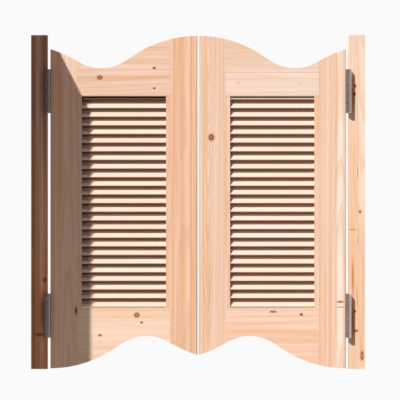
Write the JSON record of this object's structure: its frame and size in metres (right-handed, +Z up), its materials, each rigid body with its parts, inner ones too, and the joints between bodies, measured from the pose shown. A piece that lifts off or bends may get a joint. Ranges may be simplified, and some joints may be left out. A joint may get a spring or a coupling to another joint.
{
  "type": "cafe swinging doors",
  "caption": "Louvred cafe swinging doors with wavy top and bottom edges, hung from wall-fixed jamb strips on double-action spring hinges that swing both ways and close by themselves.",
  "frame": {"origin": "middle of the pair at the bottom of the jamb strips, in the middle of the doors' thickness", "axes": "+Z up, +X to the right seen from the front, +Y away from the viewer through the closed doors"},
  "size_m": [0.9, 0.068, 0.9],
  "materials": {
    "pine_jamb": "planed, unfinished",
    "pine_door_frame": "sanded, unfinished",
    "pine_slats": "sanded, unfinished",
    "beech_dowel": "turned",
    "hinge_steel": "galvanised, dull grey",
    "bush_steel": "turned, oiled",
    "spring_steel": "oil hardened",
    "zinc_screw": "zinc plated"
  },
  "bodies": {
    "jambs": {"left_jamb_leaf_screws": "zinc_screw", "left_jamb_strip": "pine_jamb", "left_lower_jamb_leaf": "hinge_steel", "left_upper_jamb_leaf": "hinge_steel", "right_jamb_leaf_screws": "zinc_screw", "right_jamb_strip": "pine_jamb", "right_lower_jamb_leaf": "hinge_steel", "right_upper_jamb_leaf": "hinge_steel"},
    "left_webs": {"left_front_bushes": "bush_steel", "left_front_end_caps": "hinge_steel", "left_front_spindles": "hinge_steel", "left_front_springs": "spring_steel", "left_front_stop_pins": "hinge_steel", "left_front_tension_collars": "hinge_steel", "left_lower_web": "hinge_steel", "left_rear_bushes": "bush_steel", "left_rear_end_caps": "hinge_steel", "left_rear_spindles": "hinge_steel", "left_rear_springs": "spring_steel", "left_rear_stop_pins": "hinge_steel", "left_rear_tension_collars": "hinge_steel", "left_upper_web": "hinge_steel"},
    "left_door": {"left_bottom_rail": "pine_door_frame", "left_door_leaf_screws": "zinc_screw", "left_dowels": "beech_dowel", "left_hinge_side_carrier": "pine_door_frame", "left_hinge_stile": "pine_door_frame", "left_lower_door_leaf": "hinge_steel", "left_meeting_side_carrier": "pine_door_frame", "left_meeting_stile": "pine_door_frame", "left_slats": "pine_slats", "left_top_rail": "pine_door_frame", "left_upper_door_leaf": "hinge_steel"},
    "right_webs": {"right_front_bushes": "bush_steel", "right_front_end_caps": "hinge_steel", "right_front_spindles": "hinge_steel", "right_front_springs": "spring_steel", "right_front_stop_pins": "hinge_steel", "right_front_tension_collars": "hinge_steel", "right_lower_web": "hinge_steel", "right_rear_bushes": "bush_steel", "right_rear_end_caps": "hinge_steel", "right_rear_spindles": "hinge_steel", "right_rear_springs": "spring_steel", "right_rear_stop_pins": "hinge_steel", "right_rear_tension_collars": "hinge_steel", "right_upper_web": "hinge_steel"},
    "right_door": {"right_bottom_rail": "pine_door_frame", "right_door_leaf_screws": "zinc_screw", "right_dowels": "beech_dowel", "right_hinge_side_carrier": "pine_door_frame", "right_hinge_stile": "pine_door_frame", "right_lower_door_leaf": "hinge_steel", "right_meeting_side_carrier": "pine_door_frame", "right_meeting_stile": "pine_door_frame", "right_slats": "pine_slats", "right_top_rail": "pine_door_frame", "right_upper_door_leaf": "hinge_steel"}
  },
  "joints": [
    {"name": "left_front_pivot", "type": "hinge", "parent": "jambs", "child": "left_webs", "pos_m": [-0.4051, -0.025, 0.45], "axis": [0, 0, -1], "range_deg": [0, 120], "stiffness_Nm_per_rad": 1.6, "springref_deg": -20.05},
    {"name": "left_rear_pivot", "type": "hinge", "parent": "left_webs", "child": "left_door", "pos_m": [-0.3989, 0.025, 0.45], "axis": [0, 0, -1], "range_deg": [-90, 0], "stiffness_Nm_per_rad": 1.6, "springref_deg": 20.05},
    {"name": "right_front_pivot", "type": "hinge", "parent": "jambs", "child": "right_webs", "pos_m": [0.4051, -0.025, 0.45], "axis": [0, 0, 1], "range_deg": [0, 120], "stiffness_Nm_per_rad": 1.6, "springref_deg": -20.05},
    {"name": "right_rear_pivot", "type": "hinge", "parent": "right_webs", "child": "right_door", "pos_m": [0.3989, 0.025, 0.45], "axis": [0, 0, 1], "range_deg": [-90, 0], "stiffness_Nm_per_rad": 1.6, "springref_deg": 20.05}
  ]
}
